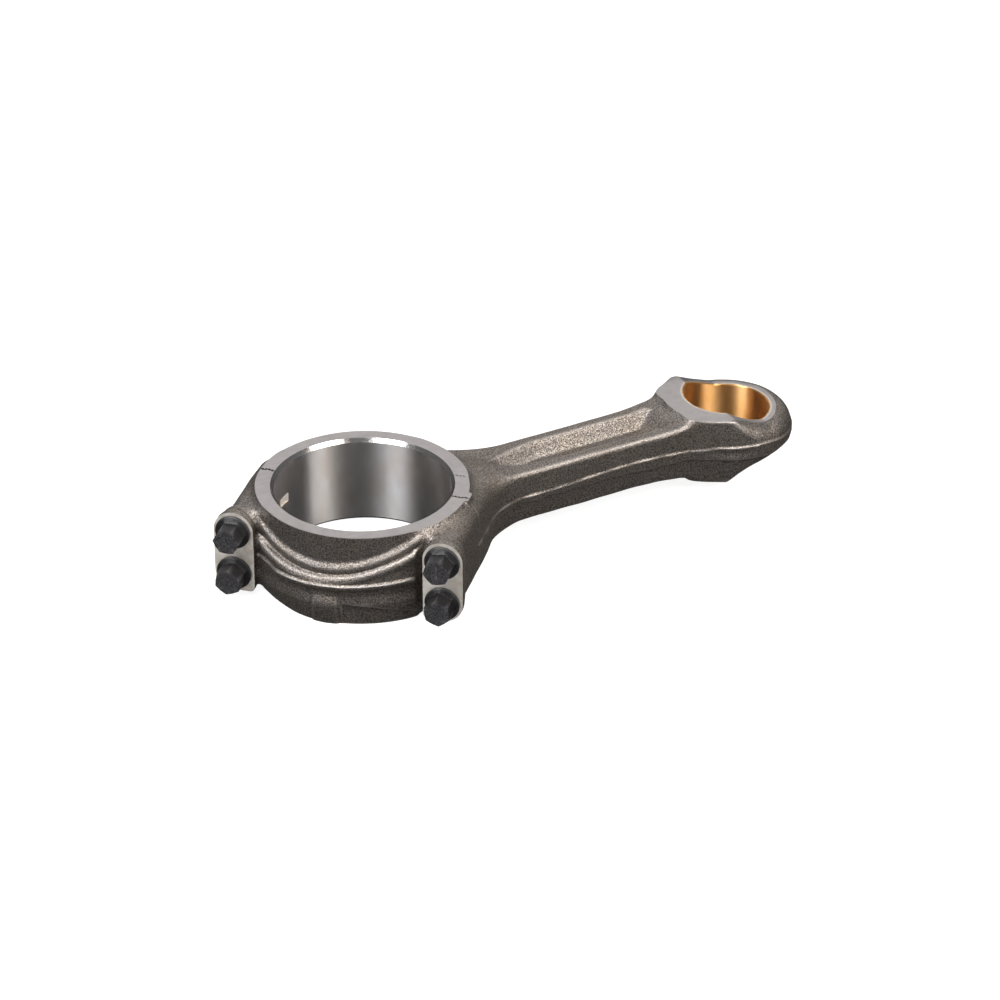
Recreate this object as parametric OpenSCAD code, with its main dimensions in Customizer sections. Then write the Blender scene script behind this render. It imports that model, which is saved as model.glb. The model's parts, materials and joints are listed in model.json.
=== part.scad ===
// Connecting rod of a heavy-duty diesel engine, lying on its side.
// The origin is the centre of the big-end bore, +X points to the small end
// and +Z runs along both bores. All sizes are in millimetres.

/* [Big end] */
// Diameter of the housing bore that holds the bearing shells
big_bore_d = 108.6; // [100:0.2:110]
// Diameter of the machined ring around the bore
big_land_d = 130; // [127:0.5:133]
// Width of the big end along the crankshaft
big_w = 58; // [56:0.5:62]
// Chamfer at each mouth of the housing bore
bore_chamfer = 2.2; // [1:0.1:3]
// Angle between the rod's axis and the split line
split_angle = 45; // [40:1:50]
// How far the cap's beads stand out of the ring
bead_out = 7; // [3:0.5:8]

/* [Lugs] */
// Distance of the bolt axes from the bore's centre line
bolt_offset = 66; // [65:0.5:68]
// Distance between the two bolts of one side, along the crankshaft
bolt_pitch = 28.6; // [26:0.2:30]
// Height of the bolt seats above the split
seat_height = 52; // [48:0.5:54]
// Width of a bolt seat across the ring
seat_w = 25; // [23:0.5:26]
// Length of a bolt seat along the crankshaft
seat_l = 54; // [52:0.5:56]
// How far the lugs reach past the split on the rod's side
lug_depth = 46; // [44:1:50]

/* [Bolts] */
// Thread diameter
bolt_d = 14; // [12:0.5:14]
// Length under the head
bolt_l = 72; // [70:1:84]
// Diameter of the flange
flange_d = 22; // [20:0.5:23]
// Width of the hexagon across its flats
hex_af = 15; // [14:0.5:18]
// Height of the head with its flange
head_h = 14; // [11:0.5:15]

/* [Shank] */
// Distance between the two bores
centre_distance = 262; // [250:1:270]
// Thickness of the shank along the bores
shank_t = 34; // [30:1:35]
// Width of the shank
shank_w = 42; // [38:1:44]
// Width of each flange of the I-section
flange_w = 7.5; // [6:0.5:9]
// Thickness of the web between the two pockets
web_t = 14; // [10:1:18]

/* [Small end] */
// Width of the small end on its shank side
small_w = 44; // [42:1:48]
// Width of the small end at its tip
tip_w = 24; // [18:1:28]
// Outer diameter of the small end
small_d = 84; // [80:1:86]
// Outer diameter of the bush
bush_d = 59; // [58:0.5:62]
// Diameter of the piston pin's bore
pin_bore_d = 55; // [53:0.5:56]
// Thickness of the bush's bronze layer
lining_t = 1; // [0.6:0.1:1.2]

/* [Hidden] */
$fn = 96;
cut = 0.5;                 // how far a cutter reaches past a face
far = 400;                 // larger than the whole rod
cap_angle = 180 + split_angle;
land_r = big_land_d / 2;
bore_r = big_bore_d / 2;
half_w = big_w / 2;
half_t = shank_t / 2;
half_shank = shank_w / 2;
hole_play = 0.08;          // radial play of a bolt in its tapped hole
cap_hole_play = 0.5;       // radial play of a bolt in the cap
step_start = centre_distance - 15;
step_end = centre_distance + 10;
block_x = centre_distance - 41;
block_half = 24;
flare_x = 108;             // where the shank's straight part begins
flare_r = 60;              // radius of the flares into the big end
neck_step = 3.5;           // how far the bolt seats stand out of the lugs
neck_top = seat_height - 12;
lug_round = 7;
lug_outer = bolt_offset + seat_w / 2 - neck_step;
lug_inner = bolt_offset - 24;  // buried in the ring over the neck's whole length
shoulder_r = 12;
hole_end = seat_height - bolt_l - 3;
bead_z = 11;
pocket_start = 102;
pocket_end = centre_distance - 60;
pocket_half = half_shank - flange_w;
tang_w = 7;                // the shell notches are cut by a disc of radius tang_cutter_r
tang_z = 4;
tang_depth = 1.8;
tang_cutter_r = 12.4;
tang_turn = 8;             // from the split line to the middle of a notch, in degrees

// ---- Placing ----

// Turns the split frame into the rod's frame: X is out of the cap, Y along the split.
module in_split_frame() {
    rotate([0, 0, cap_angle]) children();
}

// One copy at each side of the bore, in the split frame.
module both_sides() {
    for (side = [-1, 1])
        translate([0, side * bolt_offset, 0]) children();
}

// Stands a section along the bolts: its X is along the split and its Y along the bores.
module along_bolt(from, to) {
    translate([from, 0, 0])
        rotate([90, 0, 90]) linear_extrude(height = to - from) children();
}

// ---- Sections ----

// A slot with half-round ends, standing up.
module upright_slot(w, l) {
    square([w, l - w], center = true);
    for (end = [-1, 1])
        translate([0, end * (l - w) / 2]) circle(d = w);
}

// A rectangle with rounded corners.
module rounded_rect(w, l, r) {
    square([w - 2 * r, l], center = true);
    square([w, l - 2 * r], center = true);
    for (x = [-1, 1], y = [-1, 1])
        translate([x * (w / 2 - r), y * (l / 2 - r)]) circle(r = r);
}

// ---- Forged blank of rod and cap ----

module ring_blank() {
    cylinder(r = land_r, h = big_w, center = true);
}

// The ring's raised beads on the cap, as one band with sloping sides.
module cap_band() {
    outer = land_r + bead_out;
    rotate_extrude()
        polygon([[land_r - 5, -half_w + 7], [land_r, -half_w + 7], [outer - 1, -bead_z],
                 [outer, 0], [outer - 1, bead_z], [land_r, half_w - 7], [land_r - 5, half_w - 7]]);
}

// Plan that trims one lug's neck to its length, with a round shoulder at the rod's side.
module neck_plan() {
    outer = lug_outer + 2;
    inner = lug_inner - 2;
    square_from = -lug_depth + shoulder_r;
    translate([square_from, inner]) square([neck_top - square_from + 2, outer - inner]);
    translate([-lug_depth, inner]) square([shoulder_r + 1, outer - inner - shoulder_r]);
    translate([square_from, outer - shoulder_r]) circle(r = shoulder_r);
}

module lug_neck() {
    neck_w = lug_outer - lug_inner;
    intersection() {
        linear_extrude(height = seat_l, center = true) neck_plan();
        translate([0, lug_inner + neck_w / 2, 0])
            along_bolt(-lug_depth - 2, neck_top) rounded_rect(neck_w, seat_l - 4, lug_round);
    }
}

module lugs() {
    both_sides() along_bolt(neck_top, seat_height) upright_slot(seat_w, seat_l);
    lug_neck();
    mirror([0, 1, 0]) lug_neck();
}

// Plan of the shank with its flares, from the big end to the small end.
module shank_plan() {
    flare = [for (a = [0:5:45])
        [flare_x - flare_r * sin(a), half_shank + flare_r * (1 - cos(a))]];
    ring_point = (land_r - 4) * [cos(45), sin(45)];
    upper = concat([[block_x + 4, half_shank + 2]], flare, [ring_point]);
    lower = [for (i = [len(upper) - 1:-1:0]) [upper[i][0], -upper[i][1]]];
    polygon(concat(upper, lower));
}

module pocket_plan() {
    translate([pocket_start, -pocket_half]) square([pocket_end - pocket_start, 2 * pocket_half]);
    for (x = [pocket_start, pocket_end])
        translate([x, 0]) circle(r = pocket_half);
}

module shank() {
    difference() {
        linear_extrude(height = shank_t, center = true) shank_plan();
        for (side = [-1, 1])
            translate([0, 0, side * (web_t / 2 + half_t)])
                linear_extrude(height = shank_t, center = true) pocket_plan();
    }
}

// Side view of the small end: full width at the shank, stepped down to the tip.
module small_end_side() {
    a = small_w / 2;
    b = tip_w / 2;
    rotate([90, 0, 0]) linear_extrude(height = far, center = true)
        polygon([[block_x, -a], [step_start, -a], [step_end, -b], [far, -b],
                 [far, b], [step_end, b], [step_start, a], [block_x, a]]);
}

module small_end_blank() {
    wide_x = centre_distance - 17;
    wide_half = 36;
    intersection() {
        linear_extrude(height = small_w, center = true) {
            translate([centre_distance, 0]) circle(d = small_d);
            polygon([[block_x, -block_half], [wide_x, -wide_half],
                     [wide_x, wide_half], [block_x, block_half]]);
        }
        small_end_side();
    }
}

// ---- Machining ----

module big_bore() {
    cylinder(r = bore_r, h = big_w + 2 * cut, center = true);
    for (side = [0, 1])
        mirror([0, 0, side])
            translate([0, 0, half_w - bore_chamfer])
                cylinder(r1 = bore_r, r2 = bore_r + bore_chamfer + cut, h = bore_chamfer + cut);
}

// Holes for all four bolts, between two heights in the split frame.
module bolt_holes(from, to, r) {
    both_sides() for (z = [-1, 1])
        translate([from, 0, z * bolt_pitch / 2])
            rotate([0, 90, 0]) cylinder(r = r, h = to - from);
}

// Notch for the locating tang of a bearing shell, at the far end of the split.
module tang_notch(into_cap) {
    turn = into_cap ? -tang_turn : tang_turn;
    z = into_cap ? -tang_z : tang_z;
    rotate([0, 0, -90 - turn]) translate([bore_r + tang_depth - tang_cutter_r, 0, z])
        cylinder(r = tang_cutter_r, h = tang_w, center = true);
}

module cap_side() {
    translate([0, -far / 2, -far / 2]) cube([far, far, far]);
}

// ---- Pieces ----

module rod_body() {
    color("dimgray") difference() {
        union() {
            difference() {
                union() {
                    ring_blank();
                    shank();
                    in_split_frame() lugs();
                }
                in_split_frame() cap_side();
                in_split_frame() bolt_holes(hole_end, cut, bolt_d / 2 + hole_play);
            }
            small_end_blank();
        }
        big_bore();
        in_split_frame() tang_notch(false);
        translate([centre_distance, 0, 0]) cylinder(d = bush_d, h = small_w + 2 * cut, center = true);
    }
}

module bearing_cap() {
    color("gray") difference() {
        intersection() {
            union() {
                ring_blank();
                cap_band();
                in_split_frame() lugs();
            }
            in_split_frame() cap_side();
        }
        big_bore();
        in_split_frame() tang_notch(true);
        in_split_frame() bolt_holes(-cut, seat_height + cut, bolt_d / 2 + cap_hole_play);
    }
}

// One bolt with its flange on the seat, in the split frame.
module cap_bolt(side, level) {
    collar_h = 3;
    color([0.12, 0.12, 0.13]) in_split_frame()
        translate([seat_height, side * bolt_offset, level * bolt_pitch / 2]) rotate([0, 90, 0]) {
            translate([0, 0, -bolt_l]) cylinder(d = bolt_d, h = bolt_l);
            cylinder(d = flange_d, h = collar_h);
            cylinder(d = hex_af / cos(30), h = head_h, $fn = 6);
        }
}

module cap_bolt_far_top() {
    cap_bolt(-1, 1);
}

module cap_bolt_far_bottom() {
    cap_bolt(-1, -1);
}

module cap_bolt_shank_top() {
    cap_bolt(1, 1);
}

module cap_bolt_shank_bottom() {
    cap_bolt(1, -1);
}

// A layer of the bush, with its ends flush with the small end's faces.
module bush_layer(outer_d, inner_d) {
    intersection() {
        translate([centre_distance, 0, 0]) difference() {
            cylinder(d = outer_d, h = small_w, center = true);
            cylinder(d = inner_d, h = small_w + 2 * cut, center = true);
        }
        small_end_side();
    }
}

module bush_back() {
    color("silver") bush_layer(bush_d, pin_bore_d + 2 * lining_t);
}

module bush_lining() {
    color("goldenrod") bush_layer(pin_bore_d + 2 * lining_t, pin_bore_d);
}

rod_body();
bearing_cap();
cap_bolt_far_top();
cap_bolt_far_bottom();
cap_bolt_shank_top();
cap_bolt_shank_bottom();
bush_back();
bush_lining();
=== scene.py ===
"""Looks of the connecting rod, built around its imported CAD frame."""

import json
import math

import bmesh
import bpy
import numpy as np
from mathutils import Matrix, Vector


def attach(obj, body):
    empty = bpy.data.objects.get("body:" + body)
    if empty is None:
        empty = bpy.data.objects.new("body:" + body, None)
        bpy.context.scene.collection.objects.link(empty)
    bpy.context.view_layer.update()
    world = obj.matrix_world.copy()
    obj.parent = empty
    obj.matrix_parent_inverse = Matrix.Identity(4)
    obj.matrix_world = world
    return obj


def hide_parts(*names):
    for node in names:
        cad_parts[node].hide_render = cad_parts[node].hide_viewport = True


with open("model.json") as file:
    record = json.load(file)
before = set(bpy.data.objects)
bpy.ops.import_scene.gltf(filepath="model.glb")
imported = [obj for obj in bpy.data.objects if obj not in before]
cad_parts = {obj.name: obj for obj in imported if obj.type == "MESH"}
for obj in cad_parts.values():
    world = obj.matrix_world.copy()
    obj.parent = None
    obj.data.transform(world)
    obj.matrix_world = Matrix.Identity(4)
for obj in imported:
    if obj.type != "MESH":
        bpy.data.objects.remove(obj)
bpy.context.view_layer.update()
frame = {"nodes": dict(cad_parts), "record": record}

# ---- Measures, in millimetres, in the rod's frame ----

MM = 0.001
HALF_ROOT = math.sqrt(0.5)
OUT = (-HALF_ROOT, -HALF_ROOT, 0)  # out of the cap, along the bolts
ALONG = (HALF_ROOT, -HALF_ROOT, 0)  # along the split, towards the lug beside the shank
UP = (0, 0, 1)


def extent(node, direction):
    """Lowest and highest place of a CAD node along a direction."""
    points = np.array([v.co for v in frame["nodes"][node].data.vertices]) / MM
    along = points @ np.array(direction)
    return float(along.min()), float(along.max())


MOUNTS = {mount["name"]: mount for mount in frame["record"]["mounts"]}
BORE_R = MOUNTS["big_end_bore"]["dims"]["r_mm"]
PIN_R = MOUNTS["small_end_bore"]["dims"]["r_mm"]
CENTRE = MOUNTS["small_end_bore"]["pos_m"][0] / MM
HALF_W = extent("bearing_cap", UP)[1]
BUSH_R = extent("bush_back", (0, 1, 0))[1]
LINING_R = extent("bush_lining", (0, 1, 0))[1]
SMALL_HALF = extent("bush_back", UP)[1]
BOLT_S = sum(extent("cap_bolt_shank_top", ALONG)) / 2
BOLT_Z = sum(extent("cap_bolt_shank_top", UP)) / 2
HEAD_TOP = extent("cap_bolt_shank_top", OUT)[1]
BOLT_TIP = extent("cap_bolt_shank_top", OUT)[0]
FLANGE_R = extent("cap_bolt_shank_top", UP)[1] - BOLT_Z

THREAD_R = 7
THREAD_DEPTH = 0.9
TAP_DEPTH = 0.5
TAP_PLAY = 0.4


def seat_height():
    """How far out the underside of a bolt's flange is."""
    points = np.array([v.co for v in frame["nodes"]["cap_bolt_shank_top"].data.vertices]) / MM
    reach = np.hypot(points @ np.array(ALONG) - BOLT_S, points @ np.array(UP) - BOLT_Z)
    return float((points @ np.array(OUT))[reach > THREAD_R + 2].min())


def tip_height():
    """Half the width of the small end at its tip."""
    points = np.array([v.co for v in frame["nodes"]["bush_back"].data.vertices]) / MM
    return float(points[points[:, 0] > CENTRE + 20, 2].max())


SEAT = seat_height()
HEAD_H = HEAD_TOP - SEAT
HEX_AF = 15
TIP_HALF = tip_height()

# big end
CHAMFER = 2.2
RING_R = 65
LUG_S = 75  # outer side of the lugs
LUG_Z = 25  # top of the lugs
LUG_INSIDE = 30  # where the lugs end inside the ring
LUG_DRAFT = 0.06
LUG_BACKS = (33.5, 62)  # how far past the split the far lug and the one by the shank end
BOSS_Z = 27
BOSS_HALF = 12.5
BOSS_DEPTH = 11.5
BOSS_CONE = 0.22  # how fast a boss narrows away from its seat
CORNER_ALONG = 68  # outermost place of the ring's corner beside the split

# outside of the cap
UPPER_BEAD = {"past": -0.3, "radius": 3.4, "level": 6.4, "sag": 0.0052, "lowest": -6}
LOWER_BEAD = {"past": 1.9, "radius": 3.7, "level": -0.9, "sag": 0.0042, "lowest": -12}
BEAD_ENDS = (-57, 49)  # where the beads stop, measured along the split
WALL_DEPTHS = (-12, -6, -1, 0, 2, 4.5, 8, 14, 18, 22, 30)  # below the edge under the beads
WALL_PAST = (4.8, 4.9, 5.7, 7.3, 6.9, 4.7, 4.6, 5.7, 5.4, 4.6, 3.4)  # reach past the ring
RECESS_PAST = 3.5
PAD_MIDDLE = -2.8
PAD_HALF = 8.2
PAD_TOP = -6

# shank
SHANK_Y = 20.6
SHANK_Z = 17
SHANK_DRAFT = 0.05
FLARE_START = 110  # where the shank's far side begins to widen into the big end
FLARE = 11.7
FLARE_RUN = 37
POCKET_ENDS = (84, CENTRE - 47)
POCKET_HALF = 13.6
POCKET_DEPTH = 9.5
POCKET_WALL = 8.5  # how far in from its outline a pocket reaches its full depth

# small end
STEP_X = CENTRE - 15.8
STEP_LENGTH = 26
STEP_SKEW = 0.03  # the step starts a little nearer the shank on the far side
STEP_EASE = 1.25
EYE_R = 42
EYE_DRAFT = 0.09
EYE_TANGENT = (0.863, 0.504)  # direction of the block's sides, which touch the eye
BLOCK_X = 222.5
LAND = 1.6  # ground width around the bush, past the step
OUTER_SLOPE = 0.28  # fall of the forged rim outside that land
HOLLOW_X = 243
HOLLOW_DEPTH = 0.7


# ---- Forged blank as a distance field ----

CELL = (0.8, 0.8, 0.6)
GRID_LOW = (-97, -97)
GRID_HIGH = (307, 90)
GRID_TOP = 33
STOCK = 2  # extra height and seat depth, which machining takes off


def smooth(value, start, end):
    """Rises from 0 at start to 1 at end, level at both."""
    t = np.clip((value - start) / (end - start), 0, 1)
    return t * t * (3 - 2 * t)


def join(a, b, radius):
    """Union of two fields with a round fillet."""
    inner = np.maximum(radius - a, 0)
    other = np.maximum(radius - b, 0)
    return np.maximum(radius, np.minimum(a, b)) - np.sqrt(inner * inner + other * other)


def trim(a, b, radius):
    """Intersection of two fields with a round edge."""
    return -join(-a, -b, radius)


def grid():
    """The grid's coordinates over its upper half, shaped to broadcast."""
    x = np.arange(GRID_LOW[0], GRID_HIGH[0], CELL[0], dtype=np.float32)
    y = np.arange(GRID_LOW[1], GRID_HIGH[1], CELL[1], dtype=np.float32)
    z = np.arange(0, GRID_TOP, CELL[2], dtype=np.float32)
    return x[:, None, None], y[None, :, None], z[None, None, :]


def bead_line(along, bead):
    """Height of the middle of a bead, which sags towards one place along the split."""
    return bead["level"] + bead["sag"] * (along - bead["lowest"]) ** 2


def bead_field(radial, along, height, bead):
    past = radial - RING_R - bead["past"]
    return np.hypot(past, height - bead_line(along, bead)) - bead["radius"]


def wall_reach(along, height):
    """Radius of the wall under the beads."""
    edge = -2.8 + 0.05 * np.clip(along + 15, 0, 60)
    down = edge - height
    reach = RING_R + np.interp(down, WALL_DEPTHS, WALL_PAST).astype(np.float32)
    # towards the far lug its foot draws in and its edge fades
    reach = reach - 3.5 * smooth(-along, 10, 48) * smooth(down, 12, 26)
    reach = reach - 2.2 * smooth(-along, 34, 44) * smooth(4.5 - down, 0, 3)
    # towards the shank its foot is recessed under a ledge
    ledge = 14.7 + 0.0057 * (along - 8) ** 2
    recess = smooth(-height - ledge, 0, 0.8) * smooth(along, 7.5, 9)
    return reach - recess * np.maximum(reach - RING_R - RECESS_PAST, 0)


def cap_wall(radial, along, height):
    """Outside of the cap: two sagging beads over a plainer wall with a pad."""
    upper = bead_field(radial, along, height, UPPER_BEAD)
    lower = bead_field(radial, along, height, LOWER_BEAD)
    reach = wall_reach(along, height)
    wall = trim(radial - reach, height - bead_line(along, LOWER_BEAD), 0.4)
    from_pad = along - PAD_MIDDLE
    swell = reach + 1.5 * smooth(-height, 6, 15) - 0.008 * from_pad**2
    pad = trim(np.abs(from_pad) - PAD_HALF, radial - swell, 0.8)
    pad = np.maximum(pad, height - PAD_TOP)
    return join(join(upper, lower, 1), join(wall, pad, 0.8), 1.2)


def lugs_field(along, out, z, under):
    """The lugs that hold the bolts, on both sides of the split."""
    far_side = along < 0
    # the far lug narrows away from the split, but only above its tapped holes
    slim = np.where(far_side, 3.6 * smooth(-out, 0, 32) * smooth(z, 16, 25), 0)
    side = np.abs(along) - LUG_S + slim + LUG_DRAFT * z
    drop = np.where(far_side, 3 * smooth(-out, 20, 45), 9 * smooth(-out, 8, 62))
    lugs = trim(side, z - LUG_Z + drop, 7 if under else 9)
    lugs = np.maximum(lugs, LUG_INSIDE - np.abs(along))
    lugs = trim(lugs, out - SEAT + 8, 3)
    return trim(lugs, -out - np.where(far_side, *LUG_BACKS), 12)


def bosses_field(along, out, z, under):
    """Bosses under the bolt heads, round above and square on the bore's side below."""
    reach = np.abs(along) - BOLT_S
    rise = np.maximum(z - (BOSS_Z - BOSS_HALF), 0)
    boss = np.hypot(reach, rise) - BOSS_HALF
    if under:
        square = trim(np.abs(reach) - BOSS_HALF, z - BOSS_Z, 3)
        boss = np.where(reach < 0, square, boss)
    boss = boss + BOSS_CONE * np.maximum(SEAT - 4 - out, 0)
    boss = np.maximum(boss, out - SEAT - STOCK)
    return np.maximum(boss, SEAT - BOSS_DEPTH - out)


def big_end_field(x, y, z, under):
    radial = np.hypot(x, y)
    out = -(x + y) * HALF_ROOT
    along = (x - y) * HALF_ROOT
    ring = np.maximum(radial - RING_R - 1 + z / HALF_W, z - HALF_W - STOCK)

    beads = cap_wall(radial, along, -z if under else z) * 0.9
    beads = np.maximum(beads, np.maximum(8 - out, z - HALF_W - STOCK))
    beads = trim(beads, np.maximum(BEAD_ENDS[0] - along, along - BEAD_ENDS[1]), 1.2)
    body = join(join(ring, beads, 2), lugs_field(along, out, z, under), 7)
    if not under:
        corner = trim(np.abs(out + 2) - 5, along - CORNER_ALONG, 1.5)
        corner = np.maximum(corner, np.maximum(50 - along, z - HALF_W - STOCK))
        body = join(body, corner, 1.5)
    return join(body, bosses_field(along, out, z, under), 3)


def shank_field(x, y, z):
    half = SHANK_Y + 2.4 * smooth(x, 180, 228)
    half = half + FLARE * (np.clip((FLARE_START - x) / FLARE_RUN, 0, 1) ** 2) * (y > 0)
    side = np.abs(y) - half - 0.6 + SHANK_DRAFT * z

    # pockets, as a depth below the flanges' tops
    start, end = POCKET_ENDS
    pointed = POCKET_HALF * np.sqrt(np.clip((x - start - 2) / 40, 0, 1))
    pointed = pointed + 1.5 * smooth(x, 180, 225)
    run = np.minimum(x - start, end - x) * 0.55
    inward = join(pointed - np.abs(y), run, 6)
    depth = POCKET_DEPTH * smooth(inward, 0, POCKET_WALL)
    crown = SHANK_Z + 1.5 * smooth(x, 195, 222) + 2.5 * smooth(x, 214, 226) - depth
    shank = trim(side, (z - crown) * 0.8, 2.5)
    return np.maximum(shank, np.maximum(20 - x, x - CENTRE + 20))


def step_height(x, y):
    """Height of the small end's face above the middle plane: a ramp that eases into the tip."""
    t = np.clip((x + STEP_SKEW * y - STEP_X) / STEP_LENGTH, 0, 1)
    return TIP_HALF + (SMALL_HALF - TIP_HALF) * (1 - t) ** STEP_EASE


def small_end_field(x, y, z, under):
    """The eye and the block that joins it to the shank; past the step its edges slope away."""
    ahead = x - CENTRE
    wide = np.abs(y)
    radial = np.hypot(ahead, y)
    draft = EYE_DRAFT * z
    eye = radial - EYE_R + draft
    run, rise = EYE_TANGENT
    side = run * wide - rise * ahead - EYE_R + draft
    start = BLOCK_X - x + 0.4 * draft
    block = np.where(y < 0, trim(side, start, 8), trim(side, start, 5))
    block = np.maximum(block, run * ahead + rise * wide)
    head = np.minimum(eye, block)

    skewed = x + STEP_SKEW * y
    beyond = smooth(skewed, STEP_X, STEP_X + 12)
    slope = OUTER_SLOPE * np.maximum(radial - BUSH_R - LAND, 0) * beyond
    face = step_height(x, y)
    if under:
        # the lower rim starts to fall before the ground face does
        ease = 1 - (1 - np.clip((ahead + 20) / 36, 0, 1)) ** 2
        early = SMALL_HALF - (SMALL_HALF - TIP_HALF) * ease
        slope = slope + np.maximum(face - early, 0) * smooth(radial, BUSH_R + 3, BUSH_R + 8)
    top = (z - face - 0.4 + slope) * 0.85
    sharp = trim(head, top, 1.2)
    raised_edges = trim(head, top, 6)
    return sharp + (raised_edges - sharp) * smooth(skewed, STEP_X - 6, STEP_X + 4)


def flash_height(x, under):
    """Height of the trimmed flash above the middle plane, along the rod."""
    if under:
        return 3.0 + 1.8 * smooth(x, 165, 200)
    height = 0.9 + 2.0 * smooth(x, 118, 172) - 1.3 * smooth(x, 195, 225)
    return height + 2.9 * smooth(x, 222, 238) - 2.9 * smooth(x, 262, 290)


def blank_field(x, y, z, under, bar):
    """Half of the blank: big end joined to the bar of shank and small end, with trimmed flash."""
    body = join(big_end_field(x, y, z, under), bar, 13)
    out = -(x + y) * HALF_ROOT
    outline = body[:, :, :1] + 3 * smooth(out, 4, 14)
    ragged = 0.16 * np.sin(x * 0.31 + 2 * np.sin(y * 0.13)) + 0.12 * np.sin(y * 0.5 + x * 0.17)
    level = flash_height(x, under) + 0.5 * ragged
    flash = trim(outline - 0.6 - ragged, z - level, 0.3)
    return join(body, flash, 0.6)


def wobble(x, y, z):
    """Slight unevenness of a forging."""
    a = np.sin(0.11 * x + 1.1) * np.sin(0.13 * y + 0.4) * np.sin(0.17 * z + 2.1)
    b = np.sin(0.27 * x + 0.3) * np.sin(0.23 * y + 2.4) * np.sin(0.31 * z + 0.9)
    return (0.16 * a + 0.08 * b).astype(np.float32)


def skin(field, low):
    """Vertices and quads of a field's zero surface, one vertex in each cell that it crosses."""
    inside = field < 0
    corners = [(i, j, k) for i in (0, 1) for j in (0, 1) for k in (0, 1)]
    size = np.array(field.shape) - 1
    count = np.zeros(size, np.int8)
    for i, j, k in corners:
        count += inside[i : i + size[0], j : j + size[1], k : k + size[2]]
    crossed = (count > 0) & (count < 8)
    cells = np.argwhere(crossed)
    values = {c: field[tuple((cells + c).T)].astype(np.float64) for c in corners}

    total = np.zeros((len(cells), 3))
    hits = np.zeros((len(cells), 1))
    for a in corners:
        for axis in range(3):
            if a[axis]:
                continue
            b = tuple(v + (n == axis) for n, v in enumerate(a))
            cut = (values[a] < 0) != (values[b] < 0)
            gap = np.where(cut, values[a] - values[b], 1)
            point = np.tile(np.array(a, float), (len(cells), 1))
            point[:, axis] = values[a] / gap
            total += point * cut[:, None]
            hits += cut[:, None]
    place = total / hits

    for _ in range(2):
        weights = [(1 - place[:, n], place[:, n]) for n in range(3)]
        value = 0
        slope = np.zeros_like(place)
        for c in corners:
            w = [weights[n][c[n]] for n in range(3)]
            value = value + values[c] * w[0] * w[1] * w[2]
            for n in range(3):
                others = w[(n + 1) % 3] * w[(n + 2) % 3]
                slope[:, n] += values[c] * others * (1 if c[n] else -1)
        slope /= CELL
        move = slope * (value / np.maximum((slope**2).sum(1), 1e-4))[:, None]
        place = np.clip(place - move / CELL, 0, 1)

    number = np.full(size, -1, np.int32)
    number[crossed] = np.arange(len(cells))
    faces = []
    for axis in range(3):
        first = [slice(1, -1)] * 3
        second = [slice(1, -1)] * 3
        first[axis] = slice(0, -1)
        second[axis] = slice(1, None)
        a, b = inside[tuple(first)], inside[tuple(second)]
        u, v = [(1, 2), (2, 0), (0, 1)][axis]
        for flip in (False, True):
            edges = np.argwhere((a & ~b) if not flip else (~a & b))
            ring = []
            for du, dv in ((0, 0), (1, 0), (1, 1), (0, 1)):
                cell = edges.copy()
                cell[:, u] += du
                cell[:, v] += dv
                ring.append(number[tuple(cell.T)])
            quad = np.stack(ring, 1)
            faces.append(quad[:, ::-1] if flip else quad)
    points = (cells + place) * CELL + np.array(low)
    return points, np.concatenate(faces)


def forged_blank():
    """Vertices and quads of the whole unmachined forging, in millimetres."""
    x, y, z = grid()
    halves = []
    for under in (False, True):
        bar = join(shank_field(x, y, z), small_end_field(x, y, z, under), 6)
        halves.append(blank_field(x, y, z, under, bar).astype(np.float32))
    top, bottom = halves
    seam = np.minimum(top[:, :, :1], bottom[:, :, :1])
    field = np.concatenate([bottom[:, :, :0:-1], seam, top[:, :, 1:]], axis=2)
    heights = np.concatenate([-z[:, :, :0:-1], z], axis=2)
    field += wobble(x, y, heights)
    # a shallow hollow under the flash, on the near side of the small end
    hollow = np.exp(-(((x - HOLLOW_X) / 13) ** 2) - ((heights - 0.4) / 2.2) ** 2)
    field += HOLLOW_DEPTH * hollow * (y < 0)
    low = (GRID_LOW[0], GRID_LOW[1], float(heights[0, 0, 0]))
    return skin(field, low)


# ---- Mesh tools ----


def new_object(name, points, faces, *materials):
    """A mesh object from points in millimetres."""
    mesh = bpy.data.meshes.new(name)
    mesh.from_pydata(np.asarray(points) * MM, [], faces)
    for material in materials:
        mesh.materials.append(material)
    obj = bpy.data.objects.new(name, mesh)
    bpy.context.scene.collection.objects.link(obj)
    return obj


def carve(target, cutter, operation="DIFFERENCE"):
    """Applies a boolean and deletes the cutter, whose material the new faces take."""
    cut = target.modifiers.new("cut", "BOOLEAN")
    cut.object = cutter
    cut.operation = operation
    cut.solver = "MANIFOLD"
    cut.material_mode = "TRANSFER"
    graph = bpy.context.evaluated_depsgraph_get()
    result = bpy.data.meshes.new_from_object(target.evaluated_get(graph))
    if len(result.polygons) == len(target.data.polygons):
        raise RuntimeError(f"{cutter.name} left {target.name} unchanged")
    target.modifiers.clear()
    target.data = result
    bpy.data.objects.remove(cutter)


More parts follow.
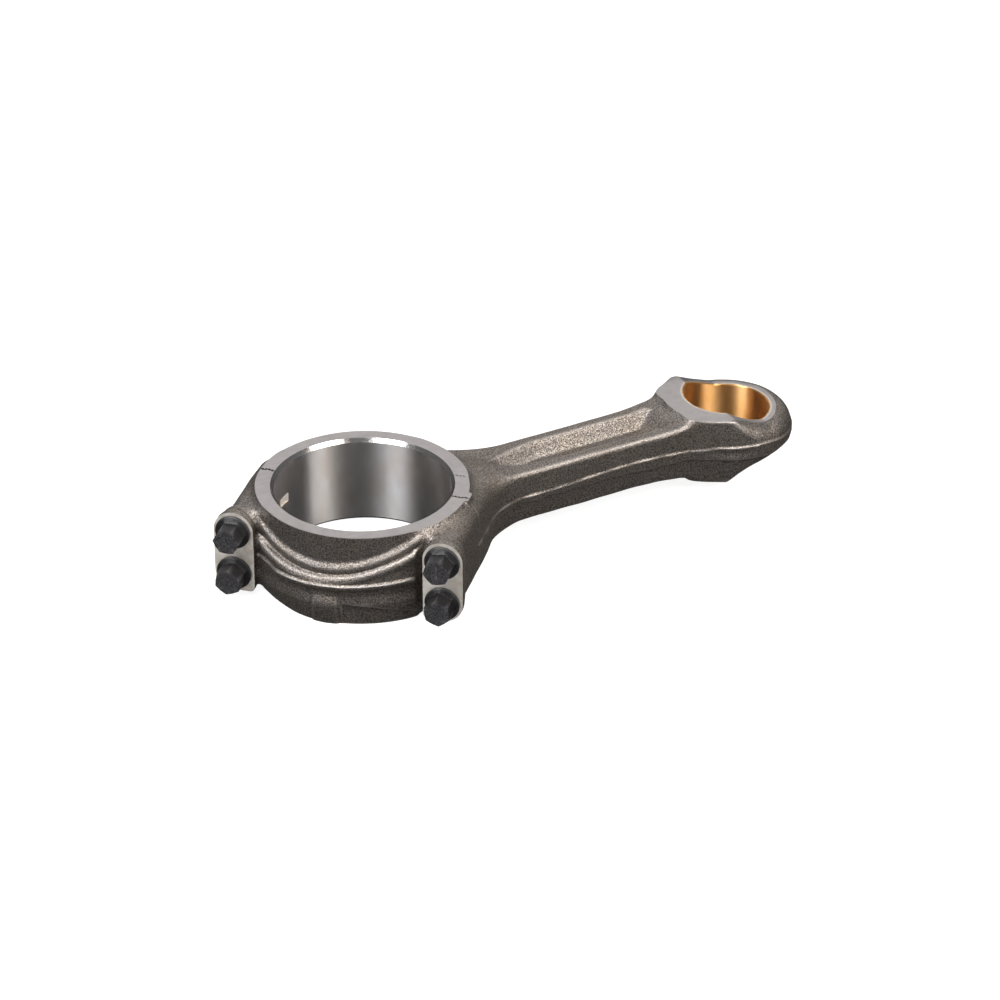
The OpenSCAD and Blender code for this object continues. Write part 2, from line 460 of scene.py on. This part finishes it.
def lathe(name, rings, material, segments=96, closed=False):
    """A closed solid from rings, each a function of the angle or a (radius, height) pair.

    The first and last ring are capped, or joined to each other where closed is true."""
    angles = np.arange(segments) * (2 * math.pi / segments)
    rows = []
    for ring in rings:
        radius, height = ring(angles) if callable(ring) else ring
        radius = np.broadcast_to(radius, angles.shape)
        height = np.broadcast_to(height, angles.shape)
        rows.append(np.stack([radius * np.cos(angles), radius * np.sin(angles), height], 1))
    points = np.concatenate(rows)
    faces = []
    pairs = len(rings) if closed else len(rings) - 1
    for r in range(pairs):
        a, b = r * segments, ((r + 1) % len(rings)) * segments
        for n in range(segments):
            m = (n + 1) % segments
            faces.append((a + n, a + m, b + m, b + n))
    if not closed:
        faces.append(tuple(range(segments))[::-1])
        faces.append(tuple((len(rings) - 1) * segments + n for n in range(segments)))
    return tidy_normals(new_object(name, points, faces, material))


def stand(obj, out, along, height, turn=0):
    """Turns an object's Z to point out of the cap and places it in the split frame."""
    axes = Matrix((ALONG, UP, OUT)).transposed().to_4x4()
    where = Vector(OUT) * out + Vector(ALONG) * along + Vector(UP) * height
    obj.data.transform(Matrix.Translation(where * MM) @ axes @ Matrix.Rotation(turn, 4, "Z"))
    return obj


# ---- Materials ----


class Surface:
    """A material being wired: its methods add nodes and return their output sockets."""

    def __init__(self, name, metallic=1.0, anisotropic=0.0):
        self.made = bpy.data.materials.new(name)
        self.made.use_nodes = True
        self.tree = self.made.node_tree
        self.shader = self.tree.nodes["Principled BSDF"]
        self.shader.inputs["Metallic"].default_value = metallic
        self.shader.inputs["Anisotropic"].default_value = anisotropic
        self.place = self.node("ShaderNodeTexCoord").outputs["Object"]

    def node(self, kind, settings=(), **inputs):
        node = self.tree.nodes.new(kind)
        for key, value in dict(settings).items():
            setattr(node, key, value)
        for key, value in inputs.items():
            self.feed(node.inputs[key.replace("_", " ")], value)
        return node

    def feed(self, socket, value):
        if isinstance(value, bpy.types.NodeSocket):
            self.tree.links.new(value, socket)
        else:
            socket.default_value = value

    def math(self, operation, a, b=0.0):
        node = self.tree.nodes.new("ShaderNodeMath")
        node.operation = operation
        self.feed(node.inputs[0], a)
        self.feed(node.inputs[1], b)
        return node.outputs[0]

    def noise(self, size, detail=2.0, stretch=(1, 1, 1)):
        """Noise whose lumps are about size millimetres, longer where stretch is above 1."""
        scale = [1 / (MM * size * s) for s in stretch]
        place = self.node("ShaderNodeVectorMath", {"operation": "MULTIPLY"})
        self.feed(place.inputs[0], self.place)
        place.inputs[1].default_value = scale
        made = self.node("ShaderNodeTexNoise", Scale=1.0, Detail=detail, Roughness=0.6)
        self.feed(made.inputs["Vector"], place.outputs[0])
        return made.outputs["Fac"]

    def spread(self, value, low, high, start=0.0, end=1.0):
        """The value's range from low to high, mapped to start and end."""
        made = self.node("ShaderNodeMapRange", Value=value, From_Min=low, From_Max=high)
        made.inputs["To Min"].default_value = start
        made.inputs["To Max"].default_value = end
        return made.outputs["Result"]

    def blend(self, share, first, second):
        made = self.node("ShaderNodeMix", {"data_type": "RGBA"})
        self.feed(made.inputs[0], share)
        for socket, colour in zip((made.inputs[6], made.inputs[7]), (first, second)):
            self.feed(socket, colour if isinstance(colour, bpy.types.NodeSocket) else (*colour, 1))
        return made.outputs[2]

    def edges(self, low, high):
        """0 on flat or hollow places, 1 on raised edges."""
        raised_edges = self.node("ShaderNodeNewGeometry").outputs["Pointiness"]
        return self.spread(raised_edges, low, high)

    def bump(self, height, depth):
        """Raises the surface by height times depth millimetres."""
        made = self.node("ShaderNodeBump", Height=height, Distance=depth * MM)
        if self.shader.inputs["Normal"].links:
            self.feed(made.inputs["Normal"], self.shader.inputs["Normal"].links[0].from_socket)
        self.feed(self.shader.inputs["Normal"], made.outputs["Normal"])

    def along_bores(self):
        """Stretches highlights along Z, across marks that run round a bore."""
        upright = self.node("ShaderNodeCombineXYZ", Z=1.0).outputs[0]
        self.feed(self.shader.inputs["Tangent"], upright)

    def finish(self, colour, roughness):
        base = colour if isinstance(colour, bpy.types.NodeSocket) else (*colour, 1)
        self.feed(self.shader.inputs["Base Color"], base)
        self.feed(self.shader.inputs["Roughness"], roughness)
        return self.made


def forged_skin():
    """Shot-blasted scale-free forging: fine sparkling grain, lighter on raised edges."""
    surface = Surface("forged_skin", metallic=0.94)
    grain = surface.noise(0.95, 3)
    pits = surface.noise(2.6, 2)
    cloud = surface.noise(17, 3)
    clouded = surface.spread(cloud, 0.35, 0.65)
    brown = surface.blend(clouded, (0.375, 0.34, 0.32), (0.385, 0.335, 0.285))
    dark = surface.blend(surface.spread(grain, 0.38, 0.62), (0.105, 0.092, 0.083), brown)
    # the colour is lightened on raised edges, which are found from pointiness
    raised_edges = surface.math("MULTIPLY", surface.edges(0.505, 0.54), 0.75)
    colour = surface.blend(raised_edges, dark, (0.6, 0.56, 0.53))
    surface.bump(pits, 0.3)
    surface.bump(grain, 0.34)
    return surface.finish(colour, surface.spread(grain, 0.35, 0.65, 0.54, 0.42))


def ground_face():
    """Ground faces, with straight fine lines and a faint mottle."""
    surface = Surface("ground_face", anisotropic=0.3)
    lines = surface.noise(0.5, 3, (40, 1, 1))
    mottle = surface.noise(6, 3)
    most = surface.math("MULTIPLY", lines, 0.6)
    shade = surface.math("ADD", most, surface.math("MULTIPLY", mottle, 0.4))
    shaded = surface.spread(shade, 0.35, 0.65)
    colour = surface.blend(shaded, (0.42, 0.4, 0.395), (0.52, 0.495, 0.485))
    surface.bump(lines, 0.012)
    return surface.finish(colour, surface.spread(shade, 0.35, 0.65, 0.46, 0.36))


def honed_bore():
    """The bored housing, with marks that run round it."""
    surface = Surface("honed_bore", anisotropic=1.0)
    lines = surface.noise(0.35, 3, (60, 60, 1))
    tint = surface.noise(14, 2, (1, 1, 2))
    tinted = surface.spread(tint, 0.35, 0.65)
    colour = surface.blend(tinted, (0.55, 0.515, 0.49), (0.62, 0.61, 0.615))
    surface.bump(lines, 0.01)
    surface.along_bores()
    return surface.finish(colour, surface.spread(lines, 0.3, 0.7, 0.32, 0.37))


def turned_chamfer():
    """Smoothly turned edge of the bore, with no run to its highlights."""
    surface = Surface("turned_chamfer")
    tint = surface.noise(3, 2)
    colour = surface.blend(tint, (0.42, 0.4, 0.39), (0.56, 0.54, 0.53))
    surface.bump(tint, 0.02)
    return surface.finish(colour, surface.spread(tint, 0.3, 0.7, 0.13, 0.18))


def milled_seat():
    """Freshly spot-faced steel, bright and slightly warm."""
    surface = Surface("milled_seat", metallic=0.5)
    lines = surface.noise(0.4, 2, (1, 1, 14))
    stain = surface.noise(5, 3)
    colour = surface.blend(surface.spread(stain, 0.4, 0.7), (0.8, 0.76, 0.7), (0.62, 0.54, 0.46))
    surface.bump(lines, 0.02)
    return surface.finish(colour, surface.spread(lines, 0.3, 0.7, 0.4, 0.52))


def fractured_face():
    """Crystalline fracture."""
    surface = Surface("fractured_face")
    grain = surface.noise(0.7, 4)
    lumps = surface.noise(3, 3)
    sparkle = surface.spread(grain, 0.35, 0.65)
    colour = surface.blend(sparkle, (0.3, 0.285, 0.27), (0.66, 0.64, 0.62))
    surface.bump(lumps, 0.5)
    surface.bump(grain, 0.35)
    return surface.finish(colour, 0.42)


def painted_crack_shadow():
    """The fracture's line where it opens at a machined face, painted dark as the shadow in the
    groove.
    """
    surface = Surface("painted_crack_shadow", metallic=0.3)
    grain = surface.noise(0.6, 3)
    colour = surface.blend(grain, (0.018, 0.016, 0.014), (0.08, 0.072, 0.066))
    surface.bump(grain, 0.2)
    return surface.finish(colour, surface.spread(grain, 0.3, 0.7, 0.5, 0.65))


def tapped_hole():
    """Cut thread, oily and dark."""
    surface = Surface("tapped_hole")
    film = surface.noise(2, 3)
    colour = surface.blend(film, (0.16, 0.145, 0.13), (0.36, 0.34, 0.32))
    return surface.finish(colour, surface.spread(film, 0.3, 0.7, 0.28, 0.45))


def bolt_phosphate(name, pale):
    """Black phosphate coat, dusty in its grain and rubbed at the corners."""
    surface = Surface(name, metallic=0.35)
    grain = surface.noise(0.7, 3)
    cloud = surface.noise(4, 3)
    low, high = [tuple(level * v for v in (1, 0.97, 1.05)) for level in (0.15 * pale, 1.1 * pale)]
    coat = surface.blend(surface.spread(grain, 0.4, 0.65), low, high)
    coat = surface.blend(surface.spread(cloud, 0.45, 0.75, 0, 0.5), coat, (0.035, 0.03, 0.028))
    raised_edges = surface.edges(0.52, 0.6)
    colour = surface.blend(surface.math("MULTIPLY", raised_edges, 0.6), coat, (0.12, 0.115, 0.12))
    surface.bump(grain, 0.16)
    return surface.finish(colour, surface.spread(grain, 0.35, 0.65, 0.48, 0.32))


def bush_bronze():
    """Bored bronze lining, with marks that run round it."""
    surface = Surface("bush_bronze", anisotropic=1.0)
    lines = surface.noise(0.4, 3, (40, 40, 1))
    tint = surface.noise(9, 3, (1, 1, 2.5))
    colour = surface.blend(surface.spread(tint, 0.35, 0.65), (0.76, 0.42, 0.15), (0.84, 0.5, 0.22))
    surface.bump(lines, 0.01)
    surface.along_bores()
    return surface.finish(colour, surface.spread(lines, 0.3, 0.7, 0.38, 0.46))


def bush_steel():
    """Turned steel backing, seen as the bush's pale rim."""
    surface = Surface("bush_steel")
    lines = surface.noise(0.3, 2)
    colour = surface.blend(lines, (0.55, 0.53, 0.5), (0.78, 0.76, 0.72))
    return surface.finish(colour, surface.spread(lines, 0.3, 0.7, 0.28, 0.38))


forged = forged_skin()
ground = ground_face()
honed = honed_bore()
chamfered = turned_chamfer()
milled = milled_seat()
fractured = fractured_face()
# a dark material that paints the shadow in the fracture's grooves
crack_shadow_paint = painted_crack_shadow()
tapped = tapped_hole()
phosphate = bolt_phosphate("bolt_phosphate", 0.024)
# the bolt ends take a paler copy of the coat: painted light, so they look more lit than the
# hexagon's sides
painted_lit_head = bolt_phosphate("bolt_end_painted_light", 0.085)
bronze = bush_bronze()
turned = bush_steel()


# ---- Small end's step ----


def step_cutter(side):
    """Everything above the small end's face, or below the lower one."""
    stops = np.array([CENTRE - 55, *np.linspace(STEP_X, STEP_X + STEP_LENGTH, 24), CENTRE + 60])
    points = []
    for y in (-70, 70):
        along = stops - STEP_SKEW * y
        outline = list(zip(along, step_height(along, y)))
        outline += [(along[-1], SMALL_HALF + 20), (along[0], SMALL_HALF + 20)]
        points += [(x, y, side * float(z)) for x, z in outline]
    count = len(outline)
    faces = [tuple(range(count)), tuple(range(count, 2 * count))[::-1]]
    faces += [(n, (n + 1) % count, (n + 1) % count + count, n + count) for n in range(count)]
    return tidy_normals(new_object("step_cutter", points, faces, ground))


# ---- Machining of rod and cap ----


GROOVE_DEEP = 3.2
BEYOND = 60  # past every face of the rod along Z


def fracture_wave(along, up):
    """How far the fracture strays from the split plane."""
    wave = 1.1 * np.sin(0.33 * along + 0.9 + 0.6 * np.sin(0.11 * up)) * np.cos(0.05 * up)
    wave += 0.45 * np.sin(0.85 * along + 1.3 * np.sin(0.21 * up)) * np.sin(0.43 * up + 0.8)
    wave += 0.3 * np.sin(1.7 * along + 0.6 * up) * np.sin(1.25 * up - 0.4 * along)
    return wave + 0.15 * np.sin(3.1 * along + 1.9 * np.sin(2.3 * up))


def from_split(out, along, up):
    """Points of the split frame in the rod's frame."""
    x = out * OUT[0] + along * ALONG[0]
    y = out * OUT[1] + along * ALONG[1]
    return np.stack([x, y, up + 0 * x], -1).reshape(-1, 3)


def fracture_cutter(overlap):
    """The cap's side of the fracture: a block with a rough face at the split."""
    s = np.arange(-90, 90.1, 0.8)
    z = np.arange(-40, 40.1, 0.8)
    along, up = np.meshgrid(s, z, indexing="ij")
    front = from_split(overlap + fracture_wave(along, up), along, up)
    far = from_split(120 + 0 * along, along, up)
    rows, columns = along.shape
    index = np.arange(rows * columns).reshape(rows, columns)
    quads = np.stack([index[:-1, :-1], index[1:, :-1], index[1:, 1:], index[:-1, 1:]], -1)
    quads = quads.reshape(-1, 4)
    edge = np.concatenate([index[:-1, 0], index[-1, :-1], index[:0:-1, -1], index[0, :0:-1]])
    after = np.roll(edge, -1)
    shift = rows * columns
    walls = np.stack([edge, edge + shift, after + shift, after], -1)
    faces = np.concatenate([quads[:, ::-1], quads + shift, walls[:, ::-1]])
    return tidy_normals(new_object("fracture", np.concatenate([front, far]), faces, fractured))


def groove_cutter(start, end, face, shift, wide, deep):
    """A jagged groove along the split on one of the ring's faces, a triangle across."""
    count = 22
    along = np.linspace(start, end, count)
    middle = fracture_wave(along, np.full_like(along, face)) + shift
    ragged = 1 + 0.35 * np.sin(2.9 * along) + 0.25 * np.sin(5.3 * along + 1)
    fade = np.clip(np.sin(np.linspace(0.25, 2.9, count)) * 1.6, 0.3, 1) * ragged
    above = face + math.copysign(0.4, face)
    below = face - math.copysign(1, face) * deep * fade
    rows = [
        from_split(middle - wide * fade, along, above),
        from_split(middle + 0.35 * wide * fade, along, above),
        from_split(middle + 0.1, along, below),
    ]
    points = np.stack(rows, 1).reshape(-1, 3)
    last = 3 * (count - 1)
    faces = [(0, 1, 2), (last, last + 1, last + 2)]
    for n in range(0, last, 3):
        faces += [(n + a, n + b, n + b + 3, n + a + 3) for a, b in ((0, 1), (1, 2), (2, 0))]
    # the groove's faces take the material that paints its shadow
    return tidy_normals(new_object("groove", points, faces, crack_shadow_paint))


def tidy_normals(obj):
    """Turns a closed mesh's faces to look outwards."""
    mesh = bmesh.new()
    mesh.from_mesh(obj.data)
    bmesh.ops.recalc_face_normals(mesh, faces=mesh.faces)
    mesh.to_mesh(obj.data)
    mesh.free()
    return obj


def chamfer_cutter(side):
    """A cone that breaks the bore's edge at one of its mouths."""
    rings = [
        (BORE_R - 1, side * (HALF_W - CHAMFER - 1)),
        (BORE_R + CHAMFER + 1, side * (HALF_W + 1)),
    ]
    return lathe("chamfer_cutter", rings, chamfered, 256)


def cut_faces(blank):
    """Grinds the ring and the small end, and bores both ends."""
    for side in (-1, 1):
        rings = [(95, side * HALF_W), (95, side * (HALF_W + 20))]
        carve(blank, lathe("face_cutter", rings, ground, 64))
        carve(blank, step_cutter(side))
    bore = [(BORE_R, -BEYOND), (BORE_R, BEYOND)]
    carve(blank, lathe("bore_cutter", bore, honed, 256))
    for side in (-1, 1):
        carve(blank, chamfer_cutter(side))
    eye = lathe("eye_cutter", [(BUSH_R, -BEYOND), (BUSH_R, BEYOND)], ground, 192)
    eye.data.transform(Matrix.Translation((CENTRE * MM, 0, 0)))
    carve(blank, eye)


def seat_cutter(side):
    """Spot-faces one pair of bolt seats: everything beyond the seat, over the boss."""
    half = BOSS_HALF + 1
    corners = [(c, a, u) for c in (SEAT, SEAT + 30) for a in (-half, half) for u in (-32, 32)]
    out, along, up = np.array(corners, float).T
    faces = [(0, 1, 3, 2), (4, 5, 7, 6), (0, 1, 5, 4), (2, 3, 7, 6), (0, 2, 6, 4), (1, 3, 7, 5)]
    places = from_split(out, along + side * BOLT_S, up)
    return tidy_normals(new_object("seat_cutter", places, faces, milled))


def bolt_places():
    """Side of the bore and level of each bolt, as signs."""
    return [(side, level) for side in (-1, 1) for level in (-1, 1)]


def split_blank(blank):
    """Cuts the machined blank into rod and cap along the fracture."""
    rod = blank
    cap = bpy.data.objects.new("cap_forging", blank.data.copy())
    bpy.context.scene.collection.objects.link(cap)
    carve(rod, fracture_cutter(0))
    carve(cap, fracture_cutter(0.12), "INTERSECT")
    return rod, cap


def drill(rod, cap):
    """Clearance holes through the cap and tapped holes in the rod."""
    for side, level in bolt_places():
        where = (side * BOLT_S, level * BOLT_Z)
        hole = lathe("hole", [(THREAD_R + 0.5, -2), (THREAD_R + 0.5, SEAT + 5)], tapped, 48)
        carve(cap, stand(hole, 0, *where))
        carve(rod, stand(tap_cutter(), 0, *where))


def notch(turn, height):
    """A disc-shaped cutter for the tang of a bearing shell, at the far end of the split."""
    radius, depth, wide = 10, 1.5, 6
    disc = lathe("tang_cutter", [(radius, -wide / 2), (radius, wide / 2)], milled, 64)
    angle = math.radians(135 + turn)
    reach = BORE_R + depth - radius
    where = (reach * math.cos(angle), reach * math.sin(angle), height)
    disc.data.transform(Matrix.Translation(Vector(where) * MM))
    return disc


# ---- Bolts ----

PITCH = 2
WAIST_R = 6.2
COLLAR_R = 6.9


def thread_ring(height, crest, depth):
    """One ring of a thread, which climbs by the pitch in each turn."""

    def ring(angles):
        turns = height / PITCH - angles / (2 * math.pi)
        wave = np.abs(2 * (turns - np.floor(turns)) - 1)
        return crest - depth * wave, height + 0 * angles

    return ring


def tap_cutter():
    """The threaded hole of one bolt, from its drilled end to its countersunk mouth."""
    crest = THREAD_R + TAP_PLAY
    mouth = crest + 0.4
    rings = [(0.5, BOLT_TIP - 3), (crest - TAP_DEPTH, BOLT_TIP - 1.2)]
    heights = np.arange(BOLT_TIP - 1, -3.5, PITCH / 6)
    rings += [thread_ring(height, crest, TAP_DEPTH) for height in heights]
    rings += [(mouth, -2.8), (mouth, 4)]
    return lathe("tap_cutter", rings, tapped, 40)


def hex_radius(angles):
    """Reach of the bolt head's hexagon at each angle."""
    sixth = math.pi / 3
    turned = np.mod(angles + sixth / 2, sixth) - sixth / 2
    return HEX_AF / 2 / np.cos(turned)


def bolt(name):
    """A flange bolt with its seat at height 0 and its head above, as rings from the head down."""
    crown = 7.6
    slope = 0.5

    def corner(angles):
        reach = hex_radius(angles)
        return reach, HEAD_H - (reach - crown) * slope

    rings = [
        (0.6, HEAD_H - 0.35),
        (4.6, HEAD_H - 0.3),
        (5.6, HEAD_H),
        (crown, HEAD_H),
        corner,
        lambda a: (hex_radius(a), 4.0 + 0 * a),
        lambda a: (hex_radius(a) + 0.5, 3.4 + 0 * a),
        (FLANGE_R - 0.5, 2.4),
        (FLANGE_R, 1.9),
        (FLANGE_R, 0.5),
        (FLANGE_R - 0.4, 0.02),
        (7.4, 0.02),
        (6.6, -0.8),
    ]
    # a waisted shank with a collar that centres it at the split
    rings += [(WAIST_R, -1.2), (WAIST_R, -SEAT + 6)]
    rings += [(COLLAR_R, -SEAT + 4.5), (COLLAR_R, -SEAT + 1), (5.9, -SEAT - 1)]
    bottom = BOLT_TIP - SEAT
    for height in np.arange(-SEAT - 2, bottom + 2.5, -PITCH / 8):
        rings.append(thread_ring(height, THREAD_R, THREAD_DEPTH))
    rings += [(5.6, bottom + 1.2), (5.0, bottom + 0.02)]
    made = lathe(name, rings, phosphate, 48)
    # the head's end faces get the paler copy of the coat, which paints light on them
    made.data.materials.append(painted_lit_head)
    for face in made.data.polygons:
        if face.center.z > (HEAD_H - 0.6) * MM:
            face.material_index = 1
    return made


# ---- Bush ----


def bush_layer(name, outer, inner, lip, surface):
    """A tube whose ends follow the small end's stepped faces, chamfered at its bore."""

    def ring(radius, side, below):
        def at(angles):
            x = CENTRE + radius * np.cos(angles)
            return radius + 0 * angles, side * (step_height(x, radius * np.sin(angles)) - below)

        return at

    rings = [
        ring(outer, -1, 0.03),
        ring(outer, 1, 0.03),
        ring(inner + lip, 1, 0.03),
        ring(inner, 1, lip + 0.03),
        ring(inner, -1, lip + 0.03),
        ring(inner + lip, -1, 0.03),
    ]
    tube = lathe(name, rings, surface, 192, closed=True)
    tube.data.transform(Matrix.Translation((CENTRE * MM, 0, 0)))
    return tube


# ---- Assembly ----

BOLT_TURNS = (52, 30, 8, 41)  # where each hexagon stopped, in degrees


CREASE = 35  # degrees


def smooth_faces(obj):
    """Smooth shading, with creases where faces meet sharply."""
    mesh = obj.data
    mesh.polygons.foreach_set("use_smooth", [True] * len(mesh.polygons))
    mesh.set_sharp_from_angle(angle=math.radians(CREASE))


def place(piece, body, slot, *nodes):
    """Gives a finished piece its body, hides the CAD nodes that it stands for and smooths its
    shading; its slot is not used.
    """
    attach(piece, body)
    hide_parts(*nodes)
    smooth_faces(piece)


def build():
    """Forges, machines and splits the rod, and adds its bolts and bush."""
    blank = new_object("rod_forging", *forged_blank(), forged)
    cut_faces(blank)
    for side in (-1, 1):
        carve(blank, seat_cutter(side))
    for side in (-1, 1):
        for face in (-HALF_W, HALF_W):
            wide = 1.5 if side < 0 else 1.1
            ends = (side * (BORE_R + 1.2), side * (RING_R + 3))
            carve(blank, groove_cutter(*ends, face, 0, wide, GROOVE_DEEP))
    # a second, shallower crack on the rod's side
    carve(blank, groove_cutter(50.5, 58.5, HALF_W, -25, 0.7, GROOVE_DEEP / 2))
    rod, cap = split_blank(blank)
    drill(rod, cap)
    carve(rod, notch(-8, 4))
    carve(cap, notch(8, -4))
    place(rod, "rod", "forged_steel", "rod_body")
    place(cap, "cap", "forged_steel", "bearing_cap")
    for number, (side, level) in enumerate(bolt_places()):
        part = f"{'far' if side < 0 else 'shank'}_{'bottom' if level < 0 else 'top'}"
        turn = math.radians(BOLT_TURNS[number])
        piece = stand(bolt(f"bolt_{part}_forged"), SEAT, side * BOLT_S, level * BOLT_Z, turn)
        place(piece, f"bolt_{part}", "bolt_steel", f"cap_bolt_{part}")
    back = bush_layer("bush_shell", BUSH_R - 0.02, LINING_R, 0, turned)
    lining = bush_layer("bush_bore", LINING_R - 0.02, PIN_R, 0.6, bronze)
    place(back, "rod", "bush_steel", "bush_back")
    place(lining, "rod", "bush_bronze", "bush_lining")


build()

# ---- Camera and studio ----

AIM = Vector((0.0874, -0.0156, 0))
VIEW_AZIMUTH = -29.3
VIEW_ELEVATION = 30.63
VIEW_DISTANCE = 2.481


def direction(azimuth, elevation):
    """Unit vector from the rod towards a place in the studio, in degrees."""
    a, e = math.radians(azimuth), math.radians(elevation)
    return Vector((math.sin(a) * math.cos(e), -math.cos(a) * math.cos(e), math.sin(e)))


def stand_camera():
    camera = bpy.data.objects.new("camera", bpy.data.cameras.new("camera"))
    bpy.context.scene.collection.objects.link(camera)
    camera.data.lens = 144
    camera.data.sensor_width = 36
    back = direction(VIEW_AZIMUTH, VIEW_ELEVATION)
    camera.location = AIM + back * VIEW_DISTANCE
    camera.rotation_mode = "QUATERNION"
    camera.rotation_quaternion = (-back).to_track_quat("-Z", "Y")
    bpy.context.scene.camera = camera


def softbox(name, azimuth, elevation, size, power, colour=(1, 1, 1), distance=1.3):
    """A soft rectangular light; its azimuth is counted from the camera's, to the right."""
    lamp = bpy.data.lights.new(name, "AREA")
    lamp.shape = "RECTANGLE"
    lamp.size, lamp.size_y = size
    lamp.energy = power
    lamp.color = colour
    obj = bpy.data.objects.new(name, lamp)
    bpy.context.scene.collection.objects.link(obj)
    away = direction(VIEW_AZIMUTH + azimuth, elevation)
    obj.location = AIM + away * distance
    obj.rotation_mode = "QUATERNION"
    obj.rotation_quaternion = away.to_track_quat("Z", "Y")
    obj.visible_camera = False


def light_studio():
    softbox("right_box", 58, 46, (0.62, 0.95), 17, (1, 0.96, 0.91))
    softbox("left_box", -50, 50, (0.5, 0.95), 18, (0.97, 0.98, 1))
    softbox("top_box", 0, 86, (0.7, 0.5), 3, (1, 0.98, 0.96))
    softbox("back_box", 180, 36, (2.2, 0.9), 5.5, (1, 0.98, 0.98), 1.7)


def white_surroundings():
    """White behind everything, but in reflections a dim room, darker below the horizon."""
    world = bpy.data.worlds.new("studio")
    bpy.context.scene.world = world
    world.use_nodes = True
    tree = world.node_tree
    room = tree.nodes["Background"]
    place = tree.nodes.new("ShaderNodeTexCoord")
    split = tree.nodes.new("ShaderNodeSeparateXYZ")
    ramp = tree.nodes.new("ShaderNodeMapRange")
    tree.links.new(place.outputs["Generated"], split.inputs[0])
    tree.links.new(split.outputs["Z"], ramp.inputs["Value"])
    levels = {"From Min": -0.3, "From Max": 0.4, "To Min": 0.04, "To Max": 0.2}
    for socket, level in levels.items():
        ramp.inputs[socket].default_value = level
    tree.links.new(ramp.outputs["Result"], room.inputs["Color"])
    white = tree.nodes.new("ShaderNodeBackground")
    path = tree.nodes.new("ShaderNodeLightPath")
    mix = tree.nodes.new("ShaderNodeMixShader")
    tree.links.new(path.outputs["Is Camera Ray"], mix.inputs[0])
    tree.links.new(room.outputs[0], mix.inputs[1])
    tree.links.new(white.outputs[0], mix.inputs[2])
    white.inputs["Color"].default_value = (1, 1, 1, 1)
    tree.links.new(mix.outputs[0], tree.nodes["World Output"].inputs["Surface"])


def lay_floor():
    """A white floor under the big end, which takes only a faint shadow."""
    half = 6000
    low = -HALF_W - 0.05
    corners = [(-half, -half, low), (half, -half, low), (half, half, low), (-half, half, low)]
    paint = bpy.data.materials.new("white_floor")
    paint.use_nodes = True
    shader = paint.node_tree.nodes["Principled BSDF"]
    shader.inputs["Base Color"].default_value = (0.3, 0.3, 0.3, 1)
    shader.inputs["Roughness"].default_value = 1
    shader.inputs["Specular IOR Level"].default_value = 0
    shader.inputs["Emission Color"].default_value = (1, 1, 1, 1)
    shader.inputs["Emission Strength"].default_value = 0.9
    floor = new_object("floor", corners, [(0, 1, 2, 3)], paint)
    floor.visible_glossy = False


stand_camera()
light_studio()
white_surroundings()
lay_floor()
bpy.context.scene.view_settings.view_transform = "Standard"
